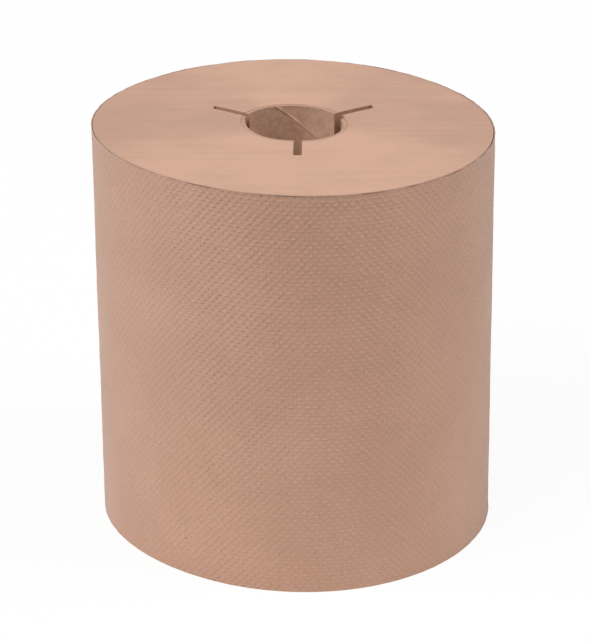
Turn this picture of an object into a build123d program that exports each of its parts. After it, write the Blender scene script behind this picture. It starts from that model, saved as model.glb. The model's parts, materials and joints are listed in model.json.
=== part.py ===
from build123d import *
import math
import os

# A roll of brown paper towel for a wall dispenser, standing on its end. One long embossed
# sheet is wound on a tube of spirally wound board. Three radial slots are sawn into the top
# end, through the board and the first turns, for the drive lugs of the dispenser's spindle.
# Its own weight has pressed the stored roll a little oval round the core.
# The origin is on the roll's axis at the base, +Z is up, and all lengths are in millimetres.

# Driving sizes of the sheet and the roll wound from it
sheet_width = 203.0
roll_radius = 99.0
tail_step = 0.3
tail_direction = 66.5

# How far the outer turn is pressed out of round: its longest radius is longer than the roll's
# by this much and its shortest one shorter. The long axis is an eighth of a turn past the tail.
roll_squash = 2.7

# Driving sizes of the board tube at its middle
core_bore_radius = 24.8
core_wall = 2.0
core_inset = 0.2
core_clearance = 0.1

# Driving sizes of the drive slots
slot_count = 3
slot_width = 4.3
slot_reach = 46.0
slot_depth = 19.0
slot_corner_radius = 1.0
slot_direction = -90.0

# Driving sizes of the seam between the edges of the inner ply, which climbs the tube's inside
seam_pitch = 118.0
seam_gap = 0.8
seam_depth = 0.3
seam_direction = 109.0

# Winding lines: the fine spiral that the turns draw on both ends of the roll, as one
# shallow line for each hundred or so turns of the real sheet
line_pitch = 12.0
line_width = 0.5
line_depth = 0.25
line_margin = 2.0

full_turn = 360.0
quarter_turn = 90.0
eighth_turn = 45.0
quarters_in_turn = 4

core_outer_radius = core_bore_radius + core_wall
winding_inner_radius = core_outer_radius + core_clearance

# An oval of four tangent quarter arcs: how far the arcs' centres lie from the oval's own, for
# each millimetre by which it is squashed
centre_reach = 2 / (2 - math.sqrt(2))


def point_at(radius, angle):
    """The point that lies radius away from the axis, at an angle from +X in degrees."""
    return Vector(
        radius * math.cos(math.radians(angle)),
        radius * math.sin(math.radians(angle)),
    )


def squash_at(radius):
    """How far a turn of this radius is out of round: not at all at the core."""
    return roll_squash * (radius - winding_inner_radius) / (roll_radius - winding_inner_radius)


def quarter_radius(turn_radius, number):
    """The radius of one quarter arc: tight at the ends of the long axis, flat between them."""
    flattening = squash_at(turn_radius) * (centre_reach - 1)
    if number % 2 == 0:
        return turn_radius - flattening
    return turn_radius + flattening


def winding_arcs(first_radius, growth_per_turn, quarters):
    """Tangent quarter arcs of an oval spiral that starts at the tail's direction.

    Its mean radius grows by the same amount every turn. Each arc's centre lies on the line
    through the last one's centre and the point where the two arcs meet.
    """
    growth = growth_per_turn / quarters_in_turn
    radius = quarter_radius(first_radius, 0)
    angle = tail_direction
    centre = point_at(squash_at(first_radius) * centre_reach, tail_direction + eighth_turn)
    centre += point_at(growth / math.sqrt(2), tail_direction + quarter_turn + eighth_turn)
    arcs = []
    for number in range(1, quarters + 1):
        arcs.append(CenterArc(centre, radius, angle, quarter_turn))
        angle += quarter_turn
        next_radius = quarter_radius(first_radius + number * growth, number)
        centre = centre - point_at(next_radius - radius, angle)
        radius = next_radius
    return arcs


def roll_section():
    """One turn of the spiral, closed by the edge of the sheet's tail."""
    outline = winding_arcs(roll_radius - tail_step, tail_step, quarters_in_turn)
    tail_edge = Line(outline[-1] @ 1, outline[0] @ 0)
    return make_face([*outline, tail_edge])


def winding_line_section():
    """The band between two spirals that run from the first turns out to the last ones."""
    first_radius = winding_inner_radius + line_margin
    last_radius = roll_radius - line_margin
    quarters = int((last_radius - first_radius) / line_pitch * quarters_in_turn)
    inner = winding_arcs(first_radius, line_pitch, quarters)
    outer = winding_arcs(first_radius + line_width, line_pitch, quarters)
    start = Line(inner[0] @ 0, outer[0] @ 0)
    end = Line(inner[-1] @ 1, outer[-1] @ 1)
    return make_face([*inner, end, *outer, start])


def drive_slots():
    """Cutters of the slots, open towards the axis and rounded at the corners of the far end."""
    length = slot_reach
    floor = Plane.XY.offset(sheet_width - slot_depth)
    plan = Rectangle(length, slot_width, align=(Align.MIN, Align.CENTER))
    far_corners = plan.vertices().group_by(Axis.X)[-1]
    plan = fillet(far_corners, slot_corner_radius)
    cutter = extrude(floor * plan, slot_depth + core_inset)
    cutters = []
    for number in range(slot_count):
        turn = slot_direction + number * full_turn / slot_count
        cutters.append(Rot(0, 0, turn) * cutter)
    return cutters


def wound_towel():
    """All the turns of the sheet as one solid, from the board tube out to the tail."""
    turns = extrude(roll_section(), sheet_width)
    turns -= extrude(Circle(winding_inner_radius), sheet_width)
    line = winding_line_section()
    turns -= extrude(line, line_depth)
    turns -= extrude(Plane.XY.offset(sheet_width - line_depth) * line, line_depth)
    for cutter in drive_slots():
        turns -= cutter
    return turns


def ply_seam():
    """Cutter of the open seam of the inner ply: a helix that runs out past both ends."""
    climb = sheet_width + 2 * seam_gap
    path = Helix(seam_pitch, climb, core_bore_radius)
    across = Plane(path @ 0, x_dir=(1, 0, 0), z_dir=path % 0)
    groove = sweep(across * Rectangle(2 * seam_depth, seam_gap), path, is_frenet=True)
    turn = seam_direction - full_turn * (sheet_width - core_inset + seam_gap) / seam_pitch
    return Pos(0, 0, -seam_gap) * Rot(0, 0, turn) * groove


def core():
    """The board tube, a little shorter than the sheet is wide, with the slots sawn through."""
    length = sheet_width - 2 * core_inset
    start = Plane.XY.offset(core_inset)
    tube = extrude(start * (Circle(core_outer_radius) - Circle(core_bore_radius)), length)
    tube -= ply_seam()
    for cutter in drive_slots():
        tube -= cutter
    return tube


os.makedirs("parts", exist_ok=True)
export_step(wound_towel(), "parts/wound_towel.step")
export_step(core(), "parts/core.step")
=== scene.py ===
import json
import math
import bmesh
import bpy
from mathutils import Matrix, Vector, noise


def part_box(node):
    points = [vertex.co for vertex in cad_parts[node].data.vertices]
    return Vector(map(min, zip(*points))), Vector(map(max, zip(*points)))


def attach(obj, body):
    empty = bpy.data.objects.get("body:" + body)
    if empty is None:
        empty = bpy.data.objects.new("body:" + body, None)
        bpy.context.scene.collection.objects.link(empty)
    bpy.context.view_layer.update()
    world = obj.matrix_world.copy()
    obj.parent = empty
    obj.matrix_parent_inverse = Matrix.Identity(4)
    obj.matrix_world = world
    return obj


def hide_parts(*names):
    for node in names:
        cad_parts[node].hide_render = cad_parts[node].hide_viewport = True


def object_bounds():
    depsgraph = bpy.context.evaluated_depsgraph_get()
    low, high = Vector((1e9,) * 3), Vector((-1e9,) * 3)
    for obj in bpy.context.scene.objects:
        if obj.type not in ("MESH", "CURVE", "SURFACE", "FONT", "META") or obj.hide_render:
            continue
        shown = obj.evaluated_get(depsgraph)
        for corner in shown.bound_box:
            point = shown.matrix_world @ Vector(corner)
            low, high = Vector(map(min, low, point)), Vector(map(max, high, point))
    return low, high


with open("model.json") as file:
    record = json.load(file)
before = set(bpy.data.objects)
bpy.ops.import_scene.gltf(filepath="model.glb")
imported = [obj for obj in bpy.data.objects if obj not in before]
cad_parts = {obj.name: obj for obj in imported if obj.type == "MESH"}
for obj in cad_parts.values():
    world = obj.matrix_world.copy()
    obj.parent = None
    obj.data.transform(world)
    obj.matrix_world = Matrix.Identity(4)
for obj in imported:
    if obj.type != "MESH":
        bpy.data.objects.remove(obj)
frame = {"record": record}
cad_low, cad_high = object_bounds()

# A roll of brown paper towel for a wall dispenser: one long embossed sheet wound on a tube of
# board, with three drive slots sawn into its top end. It stands on its other end.


# The photograph's view: a long lens, from a little above the roll and a little to the left of
# its front slot. The camera leans by half a degree.
picture_height = 641
focal_pixels = 3083.35
film_height = 36.0
camera_distance = 1.41186
camera_height = 0.71337
camera_direction = math.radians(-2.385)
camera_pitch = math.radians(23.54)
camera_roll = math.radians(-0.516)

camera_data = bpy.data.cameras.new("photograph_view")
camera_data.sensor_width = film_height
camera_data.lens = focal_pixels * film_height / picture_height
camera = bpy.data.objects.new("photograph_view", camera_data)
camera.matrix_world = (
    Matrix.Rotation(camera_direction, 4, "Z")
    @ Matrix.Translation((0, -camera_distance, camera_height))
    @ Matrix.Rotation(math.radians(90) - camera_pitch, 4, "X")
    @ Matrix.Rotation(camera_roll, 4, "Z")
)
bpy.context.scene.collection.objects.link(camera)
bpy.context.scene.camera = camera
bpy.context.scene.view_settings.view_transform = "Standard"


# The table: a white surface that runs out past the picture. It keeps the roll's shadow, and a
# camera sees it lighter than it lights the roll. Only the spot that the roll stands on is left
# as dark as it is, because it can be seen at the bottom of the core.
table_reach = 0.95
hidden_spot = 0.06
table_colour = (0.9, 0.9, 0.9, 1)
table_glow_share = 0.92


def shading_node(material, kind, settings=None, **inputs):
    """A new node in the material, with its settings and its inputs' values or links.

    An input is called by its name, or by its number as input_0 and so on.
    """
    tree = material.node_tree
    node = tree.nodes.new(kind)
    for name, value in (settings or {}).items():
        setattr(node, name, value)
    for name, value in inputs.items():
        number = name.removeprefix("input_")
        socket = node.inputs[int(number) if number.isdigit() else name]
        if isinstance(value, bpy.types.NodeSocket):
            tree.links.new(value, socket)
        else:
            socket.default_value = value
    return node


def empty_material(name):
    """A material without any nodes yet."""
    material = bpy.data.materials.new(name)
    material.use_nodes = True
    material.node_tree.nodes.clear()
    return material


def seen_share(owner):
    """1 where a camera sees the surface, also mirrored or through glass, and 0 elsewhere."""
    rays = shading_node(owner, "ShaderNodeLightPath")
    share = rays.outputs["Is Camera Ray"]
    for other_way in ("Is Glossy Ray", "Is Transmission Ray"):
        either = shading_node(
            owner, "ShaderNodeMath", {"operation": "MAXIMUM"},
            input_0=share, input_1=rays.outputs[other_way],
        )
        share = either.outputs[0]
    return share


def white_table_material():
    """White paint that glows a little to a camera, apart from the hidden spot."""
    material = empty_material("white_table")
    paint = shading_node(material, "ShaderNodeBsdfDiffuse", Color=table_colour)
    glow = shading_node(material, "ShaderNodeEmission", Strength=1.0)
    place = shading_node(material, "ShaderNodeTexCoord")
    from_roll = shading_node(
        material, "ShaderNodeVectorMath", {"operation": "LENGTH"},
        input_0=place.outputs["Object"],
    )
    beside_roll = shading_node(
        material, "ShaderNodeMath", {"operation": "GREATER_THAN"},
        input_0=from_roll.outputs["Value"], input_1=hidden_spot,
    )
    seen_beside = shading_node(
        material, "ShaderNodeMath", {"operation": "MULTIPLY"},
        input_0=seen_share(material), input_1=beside_roll.outputs[0],
    )
    amount = shading_node(
        material, "ShaderNodeMath", {"operation": "MULTIPLY"},
        input_0=seen_beside.outputs[0], input_1=table_glow_share,
    )
    look = shading_node(
        material, "ShaderNodeMixShader",
        input_0=amount.outputs[0], input_1=paint.outputs[0], input_2=glow.outputs[0],
    )
    shading_node(material, "ShaderNodeOutputMaterial", Surface=look.outputs[0])
    return material


def add_piece(name, mesh_builder, *materials):
    """A new object at the origin from a bmesh, with its materials."""
    data = bpy.data.meshes.new(name)
    mesh_builder.to_mesh(data)
    mesh_builder.free()
    for material in materials:
        data.materials.append(material)
    piece = bpy.data.objects.new(name, data)
    bpy.context.scene.collection.objects.link(piece)
    return piece


table_mesh = bmesh.new()
bmesh.ops.create_grid(table_mesh, x_segments=1, y_segments=1, size=table_reach)
table = add_piece("table", table_mesh, white_table_material())


# The studio: a dim room all round and three soft lamps halfway up, one in front on the left,
# one at the left and one at the right, so that both sides of the roll are lighter than its
# front. A camera sees the room as pure white.
room_light = 0.2
room_colour = (1, 1, 1, 1)
lamp_distance = 9.0
lamp_climb = math.radians(43)
lamp_width = 4.8
lamps = {
    "front_left_lamp": {"from": math.radians(-130), "watts": 371},
    "left_lamp": {"from": math.radians(-170), "watts": 347},
    "right_lamp": {"from": math.radians(-10), "watts": 456},
}

world = bpy.data.worlds.new("studio")
bpy.context.scene.world = world
world.use_nodes = True
world.node_tree.nodes.clear()
room_strength = shading_node(
    world, "ShaderNodeMapRange", Value=seen_share(world), **{"To Min": room_light, "To Max": 1.0},
)
room = shading_node(
    world, "ShaderNodeBackground", Color=room_colour, Strength=room_strength.outputs[0],
)
shading_node(world, "ShaderNodeOutputWorld", Surface=room.outputs[0])

roll_middle = (cad_low + cad_high) / 2
for lamp_name, lamp in lamps.items():
    lamp_data = bpy.data.lights.new(lamp_name, "AREA")
    lamp_data.size = lamp_width
    lamp_data.energy = lamp["watts"]
    lamp_object = bpy.data.objects.new(lamp_name, lamp_data)
    outwards = Vector((math.cos(lamp["from"]), math.sin(lamp["from"]), math.tan(lamp_climb)))
    lamp_object.location = roll_middle + outwards.normalized() * lamp_distance
    lamp_object.rotation_euler = outwards.to_track_quat("Z", "Y").to_euler()
    bpy.context.scene.collection.objects.link(lamp_object)


# The core: a tube of three plies of brown board, each a long strip wound on a slant and glued
# to the next, with the sheet wound straight onto it. The inner strip's lower edge has lifted.
# Three slots miss the axis by a little, and a corner has torn out where two of them meet the bore.
core_low, core_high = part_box("core")
towel_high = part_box("wound_towel")[1]
bore_radius = frame["record"]["mounts"][0]["dims"]["r_mm"] / 1000
ply_count = 3
glue_line = 0.00003
ply_thickness = (core_high.x - bore_radius) / ply_count - glue_line
ply_pitch = 0.118
ply_gap = 0.0005
inner_seam_direction = math.radians(109)
seam_shift = math.radians(130)
lip_width = 0.0013
lip_rise = 0.0006
lip_least_share = 0.6
lip_unevenness = 0.9
lip_noise_scale = 90
pucker_rise = 0.0011
pucker_direction = math.radians(80)
pucker_half_width = math.radians(9)
steps_in_turn = 180
same_place = 0.000001
level_face = 0.9
slot_depth = 0.019
saw_overrun = 0.004
steps_in_corner = 4
saw_cuts = {
    "front_slot": {
        "towards": math.radians(-93.3), "aside": 0.0023, "width": 0.0041, "reach": 0.0452,
        "corner": 0.0008, "slant": 0.0,
    },
    "right_slot": {
        "towards": math.radians(32.5), "aside": -0.0027, "width": 0.0042, "reach": 0.0456,
        "corner": 0.0004, "slant": 0.5,
    },
    "left_slot": {
        "towards": math.radians(142.9), "aside": 0.0028, "width": 0.0037, "reach": 0.046,
        "corner": 0.0004, "slant": -0.36,
    },
}
torn_corners = {
    "right_corner": {
        "towards": math.radians(20), "aside": -0.0006, "width": 0.0066, "reach": 0.0262,
        "corner": 0.0025, "slant": 0.0,
    },
    "left_corner": {
        "towards": math.radians(158), "aside": 0.0, "width": 0.005, "reach": 0.0254,
        "corner": 0.0022, "slant": 0.0,
    },
}
fibre_slant = 0.6
board_light = (0.58, 0.365, 0.258, 1)
board_dark = (0.42, 0.247, 0.168, 1)
board_end_light = (0.53, 0.325, 0.235, 1)
board_end_dark = (0.44, 0.268, 0.193, 1)
# Painted shade: a darker board for the walls of the slots and torn corners, where shade falls.
slot_shade_light = (0.49, 0.29, 0.192, 1)
slot_shade_dark = (0.37, 0.203, 0.13, 1)
roll_radius = 0.099
core_lobes = (
    {"waves": 0, "amount": -0.0003, "towards": 0.0},
    {"waves": 1, "amount": 0.00067, "towards": math.radians(71)},
    {"waves": 2, "amount": 0.00138, "towards": math.radians(120)},
    {"waves": 4, "amount": 0.0003, "towards": math.radians(46)},
)
rim_lobes = (
    {"waves": 1, "amount": 0.001, "towards": math.radians(-92.4)},
    {"waves": 2, "amount": 0.0027, "towards": math.radians(111.5)},
    {"waves": 3, "amount": 0.00077, "towards": math.radians(67.4)},
    {"waves": 4, "amount": 0.00053, "towards": math.radians(-0.8)},
)
end_slope = 0.0212
end_slope_direction = math.radians(222.6)
fold_angle = math.radians(40)


def close_cut(mesh_builder, height, keep_below):
    """Cuts the mesh level at a height, clears what is past the cut and caps it."""
    cut = bmesh.ops.bisect_plane(
        mesh_builder,
        geom=mesh_builder.verts[:] + mesh_builder.edges[:] + mesh_builder.faces[:],
        plane_co=(0, 0, height),
        plane_no=(0, 0, 1 if keep_below else -1),
        clear_outer=True,
    )
    rim = [item for item in cut["geom_cut"] if isinstance(item, bmesh.types.BMEdge)]
    bmesh.ops.edgeloop_fill(mesh_builder, edges=rim)


def board_ply(inner_radius, landing, lip):
    """One strip of board spun up the tube, its seam reaching the top end at landing."""
    turns = math.ceil((core_high.z - core_low.z) / ply_pitch) + 1
    low = core_high.z - turns * ply_pitch + ply_gap / 2
    high = low + ply_pitch - ply_gap
    outer_radius = inner_radius + ply_thickness
    corners = [
        (inner_radius - lip, low),
        (inner_radius - lip / 2, low + lip_width / 2),
        (inner_radius, low + lip_width),
        (inner_radius, high),
        (outer_radius, high),
        (outer_radius, low + lip_width),
        (outer_radius - lip / 2, low + lip_width / 2),
        (outer_radius - lip, low),
    ]
    strip = bmesh.new()
    section = [strip.verts.new((across, 0, up)) for across, up in corners]
    loop = [strip.edges.new((section[i - 1], section[i])) for i in range(len(section))]
    bmesh.ops.rotate(strip, verts=section, cent=(0, 0, 0), matrix=Matrix.Rotation(landing, 3, "Z"))
    bmesh.ops.spin(
        strip, geom=section + loop, cent=(0, 0, 0), axis=(0, 0, 1),
        dvec=(0, 0, ply_pitch / steps_in_turn), angle=math.tau * turns,
        steps=steps_in_turn * turns,
    )
    close_cut(strip, core_high.z, True)
    close_cut(strip, core_low.z, False)
    bmesh.ops.recalc_face_normals(strip, faces=strip.faces)
    return strip


def lift_unevenly(strip):
    """The lifted edge stands off more in some places than in others, most where it puckers."""
    for vert in strip.verts:
        radius = vert.co.xy.length
        if radius < bore_radius - same_place:
            from_pucker = (math.atan2(vert.co.y, vert.co.x) - pucker_direction) / pucker_half_width
            pucker = math.exp(-from_pucker * from_pucker) * pucker_rise / lip_rise
            near_top = max(0, 1 - (core_high.z - vert.co.z) / (2 * slot_depth))
            waver = lip_least_share + lip_unevenness * noise.noise(vert.co * lip_noise_scale)
            waver += pucker * near_top
            lifted = bore_radius - (bore_radius - radius) * waver
            vert.co.xy *= lifted / radius


def pushed_out(lobes, angle):
    """How far lobes of the given numbers of waves push the roll outwards in one direction."""
    return sum(
        lobe["amount"] * math.cos(lobe["waves"] * (angle - lobe["towards"])) for lobe in lobes
    )


def out_of_true(vert):
    """Moves a point of the round roll to where storage has pressed it and the saw has cut it."""
    radius = vert.co.xy.length
    angle = math.atan2(vert.co.y, vert.co.x)
    outward = min(1, max(0, (radius - core_high.x) / (roll_radius - core_high.x)))
    push = pushed_out(core_lobes, angle) * (1 - outward) + pushed_out(rim_lobes, angle) * outward
    up = vert.co.z / towel_high.z
    vert.co.z += up * outward * radius * end_slope * math.cos(angle - end_slope_direction)
    vert.co.xy *= 1 + push / radius


def slot_saw(wanted_cuts):
    """What the saw takes out: upright blocks that start near the axis, at the top end."""
    cuts = bmesh.new()
    for saw_cut in wanted_cuts.values():
        made = bmesh.ops.create_cube(cuts, size=1)["verts"]
        bmesh.ops.translate(cuts, verts=made, vec=(0.5, 0, -0.5))
        length = slot_depth + saw_overrun
        bmesh.ops.scale(cuts, verts=made, vec=(saw_cut["reach"], saw_cut["width"], length))
        bmesh.ops.translate(cuts, verts=made, vec=(0, saw_cut["aside"], towel_high.z + saw_overrun))
        far = [v for v in made if v.co.x > saw_cut["reach"] / 2]
        for vert in far:
            vert.co.x += saw_cut["slant"] * (vert.co.y - saw_cut["aside"])
        upright = [
            e for e in cuts.edges
            if all(v in far for v in e.verts)
            and abs(e.verts[0].co.z - e.verts[1].co.z) > slot_depth
        ]
        before = set(cuts.verts) - set(made)
        bmesh.ops.bevel(
            cuts, geom=upright, affect="EDGES", offset=saw_cut["corner"],
            segments=steps_in_corner, profile=0.5, material=-1,
        )
        placed = [v for v in cuts.verts if v not in before]
        bmesh.ops.rotate(
            cuts, verts=placed, cent=(0, 0, 0),
            matrix=Matrix.Rotation(saw_cut["towards"], 3, "Z"),
        )
    return cuts


def saw_slots(piece):
    """Cuts the slots into a piece, then the torn corners, and leaves plain mesh.

    The walls of every cut get a darker board: painted shade in the slots.
    """
    for wanted_cuts in (saw_cuts, torn_corners):
        saw = add_piece("saw", slot_saw(wanted_cuts), slot_shade_board)
        cut = piece.modifiers.new("slots", "BOOLEAN")
        cut.object = saw
        cut.solver = "EXACT"
        cut.material_mode = "TRANSFER"
        cut.use_self = False
        bpy.context.view_layer.update()
        seen = piece.evaluated_get(bpy.context.evaluated_depsgraph_get())
        sawn = bpy.data.meshes.new_from_object(seen)
        piece.modifiers.clear()
        piece.data = sawn
        bpy.data.objects.remove(saw)


def smooth_shading(piece):
    """Rounds the shading, apart from edges sharper than the fold angle."""
    piece.data.shade_smooth()
    piece.data.set_sharp_from_angle(angle=fold_angle)


def two_tones(material, amount, dark_at, dark, light_at, light):
    """A colour that goes from dark to light as the amount grows from one value to another."""
    tones = shading_node(material, "ShaderNodeValToRGB", Fac=amount)
    elements = tones.color_ramp.elements
    for element, position, colour in zip(elements, (dark_at, light_at), (dark, light)):
        element.position = position
        element.color = colour
    return tones.outputs[0]


def finish_material(material, colour, relief, roughness, gloss, nap=0.0, nap_roughness=0.5):
    """Ends a material with a matt surface of this colour and relief, with a nap of fibres."""
    surface = shading_node(
        material, "ShaderNodeBsdfPrincipled",
        **{"Base Color": colour, "Roughness": roughness, "Specular IOR Level": gloss,
           "Sheen Weight": nap, "Sheen Roughness": nap_roughness, "Normal": relief.outputs[0]},
    )
    shading_node(material, "ShaderNodeOutputMaterial", Surface=surface.outputs[0])
    return material


def board_material(name, light, dark):
    """Recycled board: mottled, with short fibres that lie along the slant of the strip."""
    material = empty_material(name)
    place = shading_node(material, "ShaderNodeTexCoord")
    slant = shading_node(
        material, "ShaderNodeMapping",
        Vector=place.outputs["Object"], Rotation=(fibre_slant, 0, 0), Scale=(1, 1, 2.4),
    )
    mottle = shading_node(
        material, "ShaderNodeTexNoise",
        Vector=place.outputs["Object"], Scale=330, Detail=4, Roughness=0.6,
    )
    fibres = shading_node(
        material, "ShaderNodeTexNoise",
        Vector=slant.outputs[0], Scale=900, Detail=3, Roughness=0.6,
    )
    both = shading_node(
        material, "ShaderNodeMix", {"data_type": "FLOAT"},
        input_0=0.4, input_2=mottle.outputs["Fac"], input_3=fibres.outputs["Fac"],
    )
    tones = two_tones(material, both.outputs[0], 0.36, dark, 0.64, light)
    relief = shading_node(
        material, "ShaderNodeBump", Strength=0.5, Distance=0.0002, Height=both.outputs[0],
    )
    return finish_material(material, tones, relief, roughness=0.92, gloss=0.25)


# The darker board with painted shade for the walls of the cuts.
slot_shade_board = board_material("slot_shade_board", slot_shade_light, slot_shade_dark)
core_mesh = bmesh.new()
for ply_number in range(ply_count):
    ply_radius = bore_radius + ply_number * (ply_thickness + glue_line)
    ply = board_ply(
        ply_radius,
        inner_seam_direction + ply_number * seam_shift,
        lip_rise if ply_number == 0 else 0,
    )
    if ply_number == 0:
        lift_unevenly(ply)
    ply_data = bpy.data.meshes.new("ply")
    ply.to_mesh(ply_data)
    ply.free()
    core_mesh.from_mesh(ply_data)
    bpy.data.meshes.remove(ply_data)
bmesh.ops.triangulate(core_mesh, faces=[f for f in core_mesh.faces if len(f.verts) > 4])
for vert in core_mesh.verts:
    out_of_true(vert)
for face in core_mesh.faces:
    face.material_index = 1 if abs(face.normal.z) > level_face else 0
core = add_piece(
    "board_core", core_mesh,
    board_material("brown_board", board_light, board_dark),
    board_material("cut_board", board_end_light, board_end_dark),
)
saw_slots(core)
smooth_shading(core)
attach(core, "root")
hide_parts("core")


# The wound turns: some six hundred turns of the brown sheet, pulled tight on the core and
# sawn off flat, so that both ends show the edges of the turns as a fine spiral. One ridge
# stands for about ten turns. Their colour is painted lighter towards the front and the back
# and darker at the sides: a painted sheen, where the light catches the ends.
winding_clearance = 0.0001
winding_radius = core_high.x + winding_clearance
last_turns = 0.0007
ridge_pitch = 0.0012
ridge_height = 0.00005
spin_steps = 256
cut_edge_light = (0.588, 0.356, 0.256, 1)
cut_edge_dark = (0.474, 0.289, 0.21, 1)
saw_direction = math.radians(8)
# Painted sheen on the ends: how much lighter they are painted, from the front round to the back.
painted_sheen_from_front = ((0.1, 1.0), (0.42, 0.0), (0.86, 0.1), (1.0, 0.9))


def turns_section():
    """The closed outline of the wound turns in the XZ plane: inner wall, top, outer wall, base.

    Each point is its ring number from the core outwards and its height. Rings on the ends
    are half a ridge apart.
    """
    rings = 2 + round((roll_radius - last_turns - winding_radius) / (ridge_pitch / 2))
    base = [(ring, 0.0) for ring in range(rings + 1)]
    top = [(ring, towel_high.z) for ring in range(rings, -1, -1)]
    return rings, base + top


def spiral_place(ring, rings, share_of_turn):
    """Distance from the axis of a ring that runs outwards by one ridge in each turn."""
    outer = roll_radius - last_turns
    step = (outer - winding_radius) / (rings - 2)
    return min(outer, max(winding_radius, winding_radius + (ring - 2 + 2 * share_of_turn) * step))


def wound_turns_mesh():
    """The section spun round the axis, drawn out into a spiral and joined to itself."""
    rings, outline = turns_section()
    turns = bmesh.new()
    ring_of = turns.verts.layers.float.new("ring")
    section = [turns.verts.new((ring + 1, 0, height)) for ring, height in outline]
    for vert, (ring, height) in zip(section, outline):
        vert[ring_of] = ring
    loop = [turns.edges.new((section[i - 1], section[i])) for i in range(len(section))]
    bmesh.ops.spin(
        turns, geom=section + loop, cent=(0, 0, 0), axis=(0, 0, 1),
        angle=math.tau, steps=spin_steps, use_merge=False,
    )
    turns.verts.ensure_lookup_table()
    per_step = len(outline)
    for index, vert in enumerate(turns.verts):
        share = (index // per_step) / spin_steps
        ring = round(vert[ring_of])
        radius = spiral_place(ring, rings, share)
        angle = math.tau * share
        vert.co.x = radius * math.cos(angle)
        vert.co.y = radius * math.sin(angle)
        at_wall = radius in (winding_radius, roll_radius - last_turns)
        if ring % 2 and not at_wall:
            vert.co.z += ridge_height if vert.co.z > 0 else -ridge_height
    bmesh.ops.remove_doubles(turns, verts=turns.verts, dist=same_place)
    bmesh.ops.recalc_face_normals(turns, faces=turns.faces)
    for vert in turns.verts:
        out_of_true(vert)
    return turns


def cut_edges_material():
    """The ends of the roll: the edges of the turns, lightly streaked by the saw."""
    material = empty_material("cut_edges")
    place = shading_node(material, "ShaderNodeTexCoord")
    parts = shading_node(material, "ShaderNodeSeparateXYZ", Vector=place.outputs["Object"])
    level = shading_node(
        material, "ShaderNodeCombineXYZ", X=parts.outputs["X"], Y=parts.outputs["Y"],
    )
    radius = shading_node(
        material, "ShaderNodeVectorMath", {"operation": "LENGTH"}, input_0=level.outputs[0],
    )
    turn_lines = shading_node(
        material, "ShaderNodeTexNoise", {"noise_dimensions": "1D"},
        W=radius.outputs["Value"], Scale=2600, Detail=3, Roughness=0.7,
    )
    saw_lines = shading_node(
        material, "ShaderNodeMapping",
        Vector=place.outputs["Object"], Rotation=(0, 0, saw_direction), Scale=(9, 260, 30),
    )
    streaks = shading_node(
        material, "ShaderNodeTexNoise",
        Vector=saw_lines.outputs[0], Scale=1, Detail=2, Roughness=0.5,
    )
    patches = shading_node(
        material, "ShaderNodeTexNoise",
        Vector=place.outputs["Object"], Scale=28, Detail=3, Roughness=0.55,
    )
    lines_and_streaks = shading_node(
        material, "ShaderNodeMix", {"data_type": "FLOAT"},
        input_0=0.5, input_2=turn_lines.outputs["Fac"], input_3=streaks.outputs["Fac"],
    )
    uneven = shading_node(
        material, "ShaderNodeMix", {"data_type": "FLOAT"},
        input_0=0.5, input_2=lines_and_streaks.outputs[0], input_3=patches.outputs["Fac"],
    )
    clear_marks = shading_node(
        material, "ShaderNodeMapRange",
        Value=uneven.outputs[0],
        **{"From Min": 0.38, "From Max": 0.62, "To Min": 0.15, "To Max": 0.85},
    )
    # Painted sheen: the ends are painted lighter towards the front and the back of the roll.
    direction = shading_node(
        material, "ShaderNodeVectorMath", {"operation": "NORMALIZE"}, input_0=level.outputs[0],
    )
    towards = shading_node(material, "ShaderNodeSeparateXYZ", Vector=direction.outputs[0])
    front_to_back = shading_node(
        material, "ShaderNodeMapRange",
        Value=towards.outputs["Y"], **{"From Min": -1.0, "From Max": 1.0},
    )
    painted_sheen = shading_node(material, "ShaderNodeValToRGB", Fac=front_to_back.outputs[0])
    painted_sheen.color_ramp.interpolation = "EASE"
    elements = painted_sheen.color_ramp.elements
    for position, _ in painted_sheen_from_front[1:-1]:
        elements.new(position)
    for element, (position, share) in zip(elements, painted_sheen_from_front):
        element.position = position
        element.color = (share, share, share, 1)
    all_tones = shading_node(
        material, "ShaderNodeMix", {"data_type": "FLOAT"},
        input_0=0.4, input_2=clear_marks.outputs[0], input_3=painted_sheen.outputs[0],
    )
    tones = two_tones(
        material, all_tones.outputs[0], 0.24, cut_edge_dark, 0.74, cut_edge_light,
    )
    relief = shading_node(
        material, "ShaderNodeBump",
        Strength=0.35, Distance=0.0001, Height=lines_and_streaks.outputs[0],
    )
    return finish_material(
        material, tones, relief, roughness=0.95, gloss=0.2, nap=0.05, nap_roughness=0.6,
    )


wound_turns = add_piece("wound_turns", wound_turns_mesh(), cut_edges_material())
saw_slots(wound_turns)
smooth_shading(wound_turns)
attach(wound_turns, "root")
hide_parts("wound_towel")


# The outer turn: the last turn of the sheet, embossed with small raised dots in offset rows,
# which stand out most at the front and near the top. It ends at the back in the straight cut
# edge of the tail, lightly stuck down. The saw has left a slight burr round both rims.
sheet_thickness = 0.0004
tail_direction = math.radians(66.5)
tail_step = 0.0003
burr_width = 0.0008
burr_rise = 0.0002
rim_raggedness = 0.0002
rim_noise_scale = 25
sheet_length = math.tau * roll_radius
dotted_width = towel_high.z - 2 * burr_width
dot_pitch_along = 0.0038
dot_pitch_up = 0.00415
dot_columns = round(sheet_length / dot_pitch_along)
dot_rows = round(dotted_width / dot_pitch_up)
dot_rim = 0.0009
dot_height = 0.00036
dot_stretch = (1.45, 0.5)
mean_dot_strength = 0.95
dot_unevenness = 0.6
dot_noise_scale = 160
low_dot_share = 0.6
side_dot_share = 0.4
clearest_place = 0.55
side_cosine = 0.66
front_cosine = 0.95
dot_wander = 0.0001
wander_noise_scale = 400
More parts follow.
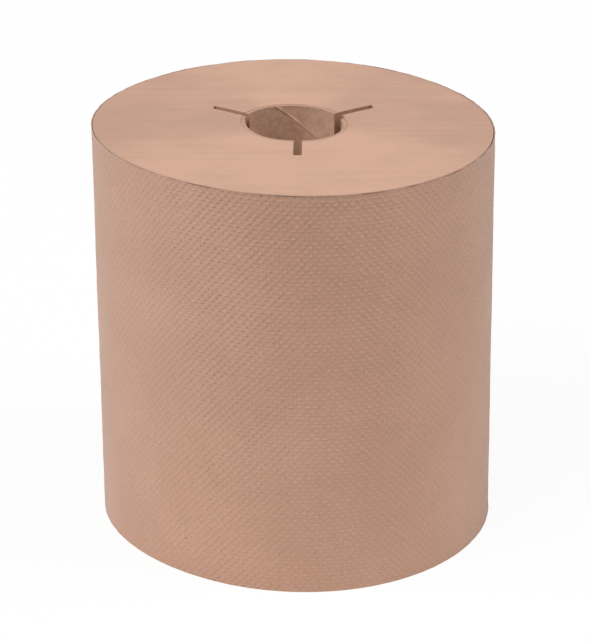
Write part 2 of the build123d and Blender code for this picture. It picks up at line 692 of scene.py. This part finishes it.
wander_noise_levels = (2.5, 7.5)
least_dot_strength = 0.1
soft_dot_half = (0.33, 0.14)
soft_dot_height = 0.0006
soft_dot_wander = (0.15, 0.15, 0)
# Painted highlight: how far the dots' tops are painted lighter and the ground between them darker.
dot_highlight_share = 0.32
wave_height = 0.0002
wave_noise_scale = 1.7
wave_rise_with_height = 12
lump_height = 0.00012
lump_noise_scale = 9
sheet_light = (0.59, 0.35, 0.25, 1)
sheet_dark = (0.463, 0.263, 0.181, 1)
fleck_colour = (0.16, 0.09, 0.06, 1)
# Painted shadow: the dark colour of the ragged line along the upper rim, under the burr.
rim_shadow_colour = (0.22, 0.125, 0.085, 1)


def flat_sheet():
    """One turn of the sheet laid flat, x along it and y across it, with its dots raised."""
    sheet = bmesh.new()
    face_side = bmesh.ops.create_grid(
        sheet, x_segments=dot_columns, y_segments=dot_rows, size=0.5,
    )
    bmesh.ops.scale(sheet, verts=face_side["verts"], vec=(sheet_length, dotted_width, 1))
    bmesh.ops.translate(
        sheet, verts=face_side["verts"], vec=(sheet_length / 2, dotted_width / 2, 0),
    )
    front_faces = sheet.faces[:]
    copied = bmesh.ops.duplicate(sheet, geom=sheet.verts[:] + sheet.edges[:] + sheet.faces[:])
    back_faces = [item for item in copied["geom"] if isinstance(item, bmesh.types.BMFace)]
    back_verts = [item for item in copied["geom"] if isinstance(item, bmesh.types.BMVert)]
    bmesh.ops.reverse_faces(sheet, faces=back_faces)
    bmesh.ops.translate(sheet, verts=back_verts, vec=(0, 0, -sheet_thickness))
    for level, climb in ((dotted_width, burr_width), (0.0, -burr_width)):
        rim = [
            e for e in sheet.edges
            if e.is_boundary and all(abs(v.co.y - level) < burr_width / 2 for v in e.verts)
        ]
        grown = bmesh.ops.extrude_edge_only(sheet, edges=rim)["geom"]
        grown_verts = [item for item in grown if isinstance(item, bmesh.types.BMVert)]
        bmesh.ops.translate(sheet, verts=grown_verts, vec=(0, climb, 0))
    bmesh.ops.bridge_loops(sheet, edges=[e for e in sheet.edges if e.is_boundary])
    in_front = set(front_faces)
    grid_edges = dict.fromkeys(e for f in front_faces for e in f.edges)
    shared = [e for e in grid_edges if all(f in in_front for f in e.link_faces)]
    middles = bmesh.ops.poke(sheet, faces=front_faces)["verts"]
    bmesh.ops.dissolve_edges(sheet, edges=shared, use_verts=False)
    joined = {f: None for v in middles for f in v.link_faces if len(f.verts) == 4}
    bmesh.ops.inset_individual(
        sheet, faces=list(joined), thickness=dot_rim, depth=dot_height, use_even_offset=True,
    )
    for dot in joined:
        middle = dot.calc_center_median()
        flat = Vector((middle.x, middle.y, 0))
        strength = mean_dot_strength + dot_unevenness * noise.noise(flat * dot_noise_scale)
        strength *= low_dot_share + (1 - low_dot_share) * middle.y / dotted_width
        facing = math.cos(math.tau * (middle.x / sheet_length - clearest_place))
        to_front = (facing - side_cosine) / (front_cosine - side_cosine)
        strength *= side_dot_share + (1 - side_dot_share) * min(1, max(0, to_front))
        wander_along, wander_up = (
            dot_wander * noise.noise(flat * wander_noise_scale + Vector((0, 0, level)))
            for level in wander_noise_levels
        )
        for vert in dot.verts:
            vert.co.x = middle.x + (vert.co.x - middle.x) * dot_stretch[0] + wander_along
            vert.co.y = middle.y + (vert.co.y - middle.y) * dot_stretch[1] + wander_up
            vert.co.z *= max(least_dot_strength, strength)
    return sheet


def wrap_sheet(sheet):
    """Lays the flat sheet round the turns, a tail step further out at its end."""
    followed = sheet.loops.layers.uv.new("sheet")
    for face in sheet.faces:
        for corner in face.loops:
            corner[followed].uv = corner.vert.co.xy
    for vert in sheet.verts:
        along = vert.co.x / sheet_length
        height = vert.co.y + burr_width
        to_rim = min(height, towel_high.z - height)
        burr = max(0, 1 - to_rim / burr_width)
        angle = tail_direction + math.tau * along
        across, back = math.cos(angle), math.sin(angle)
        around = Vector((across, back, height * wave_rise_with_height))
        wavy = wave_height * noise.noise(around * wave_noise_scale)
        in_place = Vector((across, back, height / roll_radius))
        wavy += lump_height * noise.noise(in_place * lump_noise_scale)
        ragged = noise.noise(Vector((across, back, 3)) * rim_noise_scale)
        radius = roll_radius - tail_step * (1 - along) + vert.co.z
        radius += burr * burr_rise * (1 + ragged) + wavy * (1 - burr)
        at_top = 1 if height > towel_high.z / 2 else 0
        vert.co.x = radius * across
        vert.co.y = radius * back
        vert.co.z = height + burr * rim_raggedness * ragged * at_top
        out_of_true(vert)


def soft_dots(material, place):
    """Up to one on each raised dot of the sheet and nothing between them, with a soft edge.

    The dots wander a little from their rows. They are rubbed flatter in some places, lower down
    and towards both sides of the roll.
    """
    cells = shading_node(
        material, "ShaderNodeMapping",
        Vector=place.outputs[0],
        Scale=(dot_columns / sheet_length, dot_rows / dotted_width, 1),
    )
    unrest = shading_node(
        material, "ShaderNodeTexNoise", {"noise_dimensions": "2D"},
        Vector=place.outputs[0], Scale=260, Detail=2, Roughness=0.6,
    )
    to_side = shading_node(
        material, "ShaderNodeVectorMath", {"operation": "SUBTRACT"},
        input_0=unrest.outputs["Color"], input_1=(0.5, 0.5, 0.5),
    )
    wandering = shading_node(
        material, "ShaderNodeVectorMath", {"operation": "MULTIPLY_ADD"},
        input_0=to_side.outputs[0], input_1=soft_dot_wander, input_2=cells.outputs[0],
    )
    nearest = []
    for across, up in ((0.0, 0.5), (0.5, 0.0)):
        moved = shading_node(
            material, "ShaderNodeVectorMath", {"operation": "ADD"},
            input_0=wandering.outputs[0], input_1=(across, up, 0),
        )
        in_cell = shading_node(
            material, "ShaderNodeVectorMath", {"operation": "FRACTION"}, input_0=moved.outputs[0],
        )
        from_middle = shading_node(
            material, "ShaderNodeVectorMath", {"operation": "SUBTRACT"},
            input_0=in_cell.outputs[0], input_1=(0.5, 0.5, 0),
        )
        in_halves = shading_node(
            material, "ShaderNodeVectorMath", {"operation": "DIVIDE"},
            input_0=from_middle.outputs[0], input_1=(*soft_dot_half, 1),
        )
        away = shading_node(
            material, "ShaderNodeVectorMath", {"operation": "LENGTH"},
            input_0=in_halves.outputs[0],
        )
        nearest.append(away.outputs["Value"])
    least = shading_node(
        material, "ShaderNodeMath", {"operation": "MINIMUM"},
        input_0=nearest[0], input_1=nearest[1],
    )
    even_dots = shading_node(
        material, "ShaderNodeMapRange", {"interpolation_type": "SMOOTHSTEP"},
        Value=least.outputs[0],
        **{"From Min": 0.3, "From Max": 1.2, "To Min": 1.0, "To Max": 0.0},
    )
    rubbed_flat = shading_node(
        material, "ShaderNodeTexNoise", {"noise_dimensions": "2D"},
        Vector=place.outputs[0], Scale=110, Detail=3, Roughness=0.7,
    )
    strength = shading_node(
        material, "ShaderNodeMapRange",
        Value=rubbed_flat.outputs["Fac"],
        **{"From Min": 0.36, "From Max": 0.62, "To Min": 0.6, "To Max": 1.0},
    )
    on_sheet = shading_node(material, "ShaderNodeSeparateXYZ", Vector=place.outputs[0])
    upwards = shading_node(
        material, "ShaderNodeMapRange",
        Value=on_sheet.outputs["Y"],
        **{"From Max": dotted_width, "To Min": low_dot_share, "To Max": 1.0},
    )
    turned = shading_node(
        material, "ShaderNodeMath", {"operation": "MULTIPLY_ADD"},
        input_0=on_sheet.outputs["X"], input_1=math.tau / sheet_length,
        input_2=-math.tau * clearest_place,
    )
    facing = shading_node(
        material, "ShaderNodeMath", {"operation": "COSINE"}, input_0=turned.outputs[0],
    )
    to_front = shading_node(
        material, "ShaderNodeMapRange",
        Value=facing.outputs[0],
        **{"From Min": side_cosine, "From Max": front_cosine,
           "To Min": side_dot_share, "To Max": 1.0},
    )
    dots = even_dots
    for share in (strength, upwards, to_front):
        dots = shading_node(
            material, "ShaderNodeMath", {"operation": "MULTIPLY"},
            input_0=dots.outputs[0], input_1=share.outputs[0],
        )
    return dots


def towel_sheet_material():
    """Unbleached towel paper: soft mottling, fine fibres along the sheet and a few dark flecks.

    The raised dots are painted a little lighter and the ground between them darker, a painted
    highlight on the dots and painted shade between them, and a painted shadow darkens the upper
    rim here and there.
    """
    material = empty_material("towel_sheet")
    place = shading_node(material, "ShaderNodeUVMap", {"uv_map": "sheet"})
    dots = soft_dots(material, place)
    mottle = shading_node(
        material, "ShaderNodeTexNoise", {"noise_dimensions": "2D"},
        Vector=place.outputs[0], Scale=420, Detail=4, Roughness=0.6,
    )
    along_sheet = shading_node(
        material, "ShaderNodeMapping", Vector=place.outputs[0], Scale=(0.35, 1, 1),
    )
    fibres = shading_node(
        material, "ShaderNodeTexNoise", {"noise_dimensions": "2D"},
        Vector=along_sheet.outputs[0], Scale=2200, Detail=3, Roughness=0.65,
    )
    clouds = shading_node(
        material, "ShaderNodeTexNoise", {"noise_dimensions": "2D"},
        Vector=place.outputs[0], Scale=24, Detail=2, Roughness=0.5,
    )
    fine = shading_node(
        material, "ShaderNodeMix", {"data_type": "FLOAT"},
        input_0=0.5, input_2=mottle.outputs["Fac"], input_3=fibres.outputs["Fac"],
    )
    all_tones = shading_node(
        material, "ShaderNodeMix", {"data_type": "FLOAT"},
        input_0=0.35, input_2=fine.outputs[0], input_3=clouds.outputs["Fac"],
    )
    # Painted highlight on the dots' tops and painted shade between them.
    dot_highlit_tones = shading_node(
        material, "ShaderNodeMix", {"data_type": "FLOAT"},
        input_0=dot_highlight_share, input_2=all_tones.outputs[0], input_3=dots.outputs[0],
    )
    tones = two_tones(material, dot_highlit_tones.outputs[0], 0.3, sheet_dark, 0.7, sheet_light)
    cells = shading_node(
        material, "ShaderNodeTexVoronoi", {"voronoi_dimensions": "2D"},
        Vector=place.outputs[0], Scale=55,
    )
    spot = shading_node(
        material, "ShaderNodeMapRange", {"interpolation_type": "SMOOTHSTEP"},
        Value=cells.outputs["Distance"],
        **{"From Min": 0.015, "From Max": 0.03, "To Min": 1.0, "To Max": 0.0},
    )
    chosen = shading_node(
        material, "ShaderNodeMath", {"operation": "GREATER_THAN"},
        input_0=cells.outputs["Color"], input_1=0.93,
    )
    fleck = shading_node(
        material, "ShaderNodeMath", {"operation": "MULTIPLY"},
        input_0=spot.outputs[0], input_1=chosen.outputs[0],
    )
    colour = shading_node(
        material, "ShaderNodeMix", {"data_type": "RGBA"},
        input_0=fleck.outputs[0], input_6=tones, input_7=fleck_colour,
    )
    on_sheet = shading_node(material, "ShaderNodeSeparateXYZ", Vector=place.outputs[0])
    # Painted shadow along the upper rim, stronger in some places than in others.
    to_rim = shading_node(
        material, "ShaderNodeMapRange",
        Value=on_sheet.outputs["Y"],
        **{"From Min": dotted_width + burr_width / 10, "From Max": dotted_width + burr_width / 2},
    )
    ragged = shading_node(
        material, "ShaderNodeTexNoise", {"noise_dimensions": "1D"},
        W=on_sheet.outputs["X"], Scale=45, Detail=4, Roughness=0.7,
    )
    ragged_share = shading_node(
        material, "ShaderNodeMapRange",
        Value=ragged.outputs["Fac"],
        **{"From Min": 0.4, "From Max": 0.62, "To Min": 0.1, "To Max": 0.9},
    )
    rim_shadow_share = shading_node(
        material, "ShaderNodeMath", {"operation": "MULTIPLY"},
        input_0=to_rim.outputs[0], input_1=ragged_share.outputs[0],
    )
    rim_shadowed = shading_node(
        material, "ShaderNodeMix", {"data_type": "RGBA"},
        input_0=rim_shadow_share.outputs[0], input_6=colour.outputs[2], input_7=rim_shadow_colour,
    )
    dot_relief = shading_node(
        material, "ShaderNodeBump",
        Strength=1.0, Distance=soft_dot_height, Height=dots.outputs[0],
    )
    relief = shading_node(
        material, "ShaderNodeBump",
        Strength=0.5, Distance=0.00012, Height=fine.outputs[0], Normal=dot_relief.outputs[0],
    )
    return finish_material(
        material, rim_shadowed.outputs[2], relief, roughness=0.95, gloss=0.2, nap=0.34,
    )


sheet_mesh = flat_sheet()
wrap_sheet(sheet_mesh)
outer_turn = add_piece("outer_turn", sheet_mesh, towel_sheet_material())
smooth_shading(outer_turn)
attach(outer_turn, "root")
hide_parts("wound_towel")
